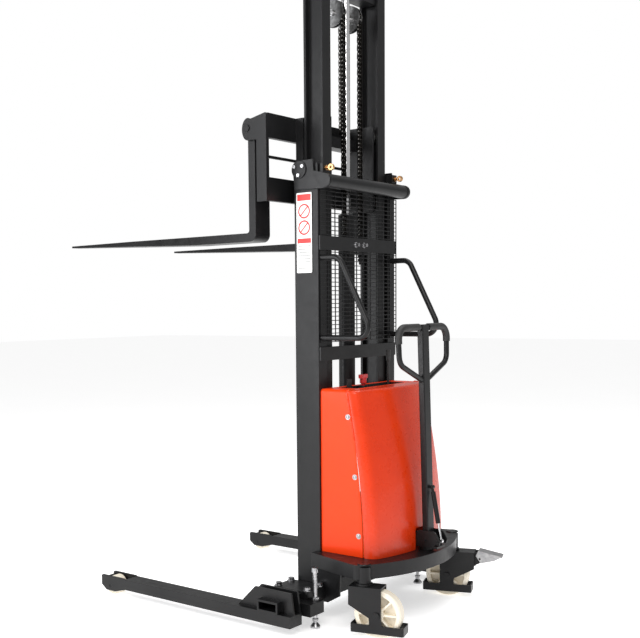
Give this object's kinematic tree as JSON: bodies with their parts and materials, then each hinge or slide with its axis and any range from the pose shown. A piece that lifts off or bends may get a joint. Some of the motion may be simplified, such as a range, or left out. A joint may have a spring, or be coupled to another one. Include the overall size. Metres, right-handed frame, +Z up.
{
  "type": "walkie stacker",
  "caption": "Straddle-leg walkie stacker with a telescopic mast, sliding forks, adjustable legs, swivel casters and a tilting tiller loop.",
  "frame": {"origin": "centre of the bounding box's footprint, on the floor", "axes": "+Z up the mast; +Y along the forks, away from the operator; +X to the operator's right"},
  "size_m": [1.09, 1.7758, 2.54],
  "materials": {
    "battery_case": "moulded",
    "black_plastic": "moulded",
    "black_powder_coat": "satin powder coat",
    "brass": "yellow passivated",
    "bright_rod": "polished chrome plate",
    "chain_steel": "oiled steel",
    "nylon": "cream moulded nylon",
    "orange_paint": "gloss paint",
    "orange_plastic": "moulded, semi-gloss",
    "pale_steel": "bare steel",
    "red_plastic": "moulded",
    "rubber": "ribbed hose cover and grip sleeve",
    "tank": "translucent white, moulded",
    "zinc": "zinc plated"
  },
  "bodies": {
    "chassis": {"outer_uprights": "black_powder_coat", "leg_sleeve": "black_powder_coat", "clamp_plates": "black_powder_coat", "base_bolts": "zinc", "base_plate": "black_powder_coat", "caster_housings": "black_powder_coat", "caster_caps": "black_powder_coat", "head_brackets": "black_powder_coat", "ring_bolts": "brass", "crossbar": "black_powder_coat", "cross_plate_upper": "black_powder_coat", "cross_plate_lower": "black_powder_coat", "mesh_guard": "black_powder_coat", "chain_anchors": "black_powder_coat", "frame_bolts": "zinc", "grab_handles": "black_powder_coat", "lift_cylinder": "black_powder_coat", "front_cover": "orange_paint", "rear_cover": "orange_plastic", "cover_screws": "zinc", "control_panel": "black_plastic", "battery": "battery_case", "pump_motor": "black_powder_coat", "oil_tank": "tank", "hydraulic_hose": "rubber"},
    "inner_mast": {"inner_uprights": "black_powder_coat", "inner_ties": "black_powder_coat", "lift_rod": "bright_rod", "lift_chains": "chain_steel"},
    "chain_wheels": {"chain_wheels": "chain_steel"},
    "inner_rollers": {"inner_rollers": "chain_steel"},
    "outer_rollers": {"outer_rollers": "chain_steel"},
    "carriage": {"carriage": "black_powder_coat", "fork_shaft": "black_powder_coat"},
    "carriage_rollers_lower": {"carriage_rollers_lower": "chain_steel"},
    "carriage_rollers_upper": {"carriage_rollers_upper": "chain_steel"},
    "fork_left": {"fork_left": "black_powder_coat"},
    "fork_right": {"fork_right": "black_powder_coat"},
    "leg_left": {"leg_left": "black_powder_coat"},
    "leg_right": {"leg_right": "black_powder_coat"},
    "load_roller_left": {"load_roller_left": "nylon"},
    "load_roller_right": {"load_roller_right": "nylon"},
    "stabiliser_left": {"stabiliser_left": "zinc"},
    "stabiliser_right": {"stabiliser_right": "zinc"},
    "caster_left": {"caster_fork_left": "black_powder_coat"},
    "caster_right": {"caster_fork_right": "black_powder_coat"},
    "caster_wheel_left": {"caster_wheel_left": "nylon"},
    "caster_wheel_right": {"caster_wheel_right": "nylon"},
    "brake_pedal": {"brake_pedal": "pale_steel"},
    "tiller_swivel": {"tiller_swivel": "black_powder_coat"},
    "tiller": {"tiller_post": "black_powder_coat", "tiller_grips": "rubber"},
    "gas_spring": {"gas_spring": "black_powder_coat"},
    "gas_rod": {"gas_rod": "zinc"},
    "lift_lever": {"lift_lever": "black_plastic"},
    "key": {"key": "black_plastic"},
    "battery_switch": {"battery_switch": "red_plastic"}
  },
  "joints": [
    {"name": "mast_lift", "type": "slide", "parent": "chassis", "child": "inner_mast", "axis": [0, 0, 1], "range_m": [-0.713, 0.4]},
    {"name": "carriage_lift", "type": "slide", "parent": "inner_mast", "child": "carriage", "axis": [0, 0, 1], "range_m": [-0.714, 0.401], "deforming": ["lift_chains"]},
    {"name": "chain_wheels_turn", "type": "hinge", "parent": "inner_mast", "child": "chain_wheels", "pos_m": [0, -0.3601, 2.367], "axis": [1, 0, 0], "range_deg": [-909, 511]},
    {"name": "inner_rollers_turn", "type": "hinge", "parent": "inner_mast", "child": "inner_rollers", "pos_m": [0, -0.3771, 0.895], "axis": [1, 0, 0], "range_deg": [-930, 930]},
    {"name": "outer_rollers_turn", "type": "hinge", "parent": "chassis", "child": "outer_rollers", "pos_m": [0, -0.3771, 1.735], "axis": [1, 0, 0], "range_deg": [-1239, 1239]},
    {"name": "carriage_rollers_lower_turn", "type": "hinge", "parent": "carriage", "child": "carriage_rollers_lower", "pos_m": [0, -0.3771, 1.652], "axis": [1, 0, 0], "range_deg": [-1239, 1239]},
    {"name": "carriage_rollers_upper_turn", "type": "hinge", "parent": "carriage", "child": "carriage_rollers_upper", "pos_m": [0, -0.3771, 1.915], "axis": [1, 0, 0], "range_deg": [-1239, 1239]},
    {"name": "fork_left_slide", "type": "slide", "parent": "carriage", "child": "fork_left", "axis": [1, 0, 0], "range_m": [0, 0.19]},
    {"name": "fork_right_slide", "type": "slide", "parent": "carriage", "child": "fork_right", "axis": [-1, 0, 0], "range_m": [0, 0.19]},
    {"name": "leg_left_slide", "type": "slide", "parent": "chassis", "child": "leg_left", "axis": [-1, 0, 0], "range_m": [0, 0.15]},
    {"name": "leg_right_slide", "type": "slide", "parent": "chassis", "child": "leg_right", "axis": [1, 0, 0], "range_m": [0, 0.15]},
    {"name": "load_roller_left_turn", "type": "hinge", "parent": "leg_left", "child": "load_roller_left", "pos_m": [-0.5035, 0.4869, 0.04], "axis": [1, 0, 0], "continuous": true},
    {"name": "stabiliser_left_screw", "type": "slide", "parent": "chassis", "child": "stabiliser_left", "axis": [0, 0, 1], "range_m": [-0.005, 0.02]},
    {"name": "caster_left_swivel", "type": "hinge", "parent": "chassis", "child": "caster_left", "pos_m": [-0.338, -0.6781, 0.18], "axis": [0, 0, 1], "continuous": true},
    {"name": "caster_wheel_left_turn", "type": "hinge", "parent": "caster_left", "child": "caster_wheel_left", "pos_m": [-0.3225, -0.73399, 0.09], "axis": [-0.9636, -0.2672, 0], "continuous": true},
    {"name": "load_roller_right_turn", "type": "hinge", "parent": "leg_right", "child": "load_roller_right", "pos_m": [0.5035, 0.4869, 0.04], "axis": [1, 0, 0], "continuous": true},
    {"name": "stabiliser_right_screw", "type": "slide", "parent": "chassis", "child": "stabiliser_right", "axis": [0, 0, 1], "range_m": [-0.005, 0.02]},
    {"name": "caster_right_swivel", "type": "hinge", "parent": "chassis", "child": "caster_right", "pos_m": [0.338, -0.6781, 0.18], "axis": [0, 0, 1], "range_deg": [-120, 120]},
    {"name": "caster_wheel_right_turn", "type": "hinge", "parent": "caster_right", "child": "caster_wheel_right", "pos_m": [0.33287, -0.664, 0.09], "axis": [0.9397, 0.342, 0], "continuous": true},
    {"name": "brake_pedal_hinge", "type": "hinge", "parent": "caster_right", "child": "brake_pedal", "pos_m": [0.37904, -0.79086, 0.166], "axis": [0.9397, 0.342, 0], "range_deg": [0, 14]},
    {"name": "tiller_swivel_turn", "type": "hinge", "parent": "chassis", "child": "tiller_swivel", "pos_m": [0, -0.7491, 0.278], "axis": [0, 0, 1], "range_deg": [-35, 35]},
    {"name": "tiller_tilt", "type": "hinge", "parent": "tiller_swivel", "child": "tiller", "pos_m": [0, -0.7581, 0.312], "axis": [1, 0, 0], "range_deg": [0, 52]},
    {"name": "gas_spring_swing", "type": "hinge", "parent": "tiller", "child": "gas_spring", "pos_m": [0, -0.7741, 0.52], "axis": [1, 0, 0], "range_deg": [0, 4.69]},
    {"name": "gas_rod_slide", "type": "slide", "parent": "gas_spring", "child": "gas_rod", "axis": [0, -0.1843, -0.9829], "range_m": [-0.0488, 0]},
    {"name": "lift_lever_hinge", "type": "hinge", "parent": "chassis", "child": "lift_lever", "pos_m": [0.083, -0.5221, 0.878], "axis": [1, 0, 0], "range_deg": [-12, 12], "stiffness_Nm_per_rad": 2},
    {"name": "key_turn", "type": "hinge", "parent": "chassis", "child": "key", "pos_m": [-0.139, -0.4811, 0.908], "axis": [0, 0, -1], "range_deg": [0, 90]},
    {"name": "battery_switch_push", "type": "slide", "parent": "chassis", "child": "battery_switch", "axis": [0, 0, 1], "range_m": [-0.008, 0]}
  ],
  "couplings": [
    {"joint": "carriage_lift", "follows": "mast_lift", "ratio": 1},
    {"joint": "chain_wheels_turn", "follows": "mast_lift", "rad_per_m": 22.222},
    {"joint": "inner_rollers_turn", "follows": "mast_lift", "rad_per_m": -22.727},
    {"joint": "outer_rollers_turn", "follows": "mast_lift", "rad_per_m": 30.303},
    {"joint": "carriage_rollers_lower_turn", "follows": "mast_lift", "rad_per_m": -30.303},
    {"joint": "carriage_rollers_upper_turn", "follows": "mast_lift", "rad_per_m": -30.303},
    {"joint": "gas_spring_swing", "follows": "tiller_tilt", "ratio": 0.08517},
    {"joint": "gas_rod_slide", "follows": "tiller_tilt", "m_per_rad": -0.05068}
  ]
}
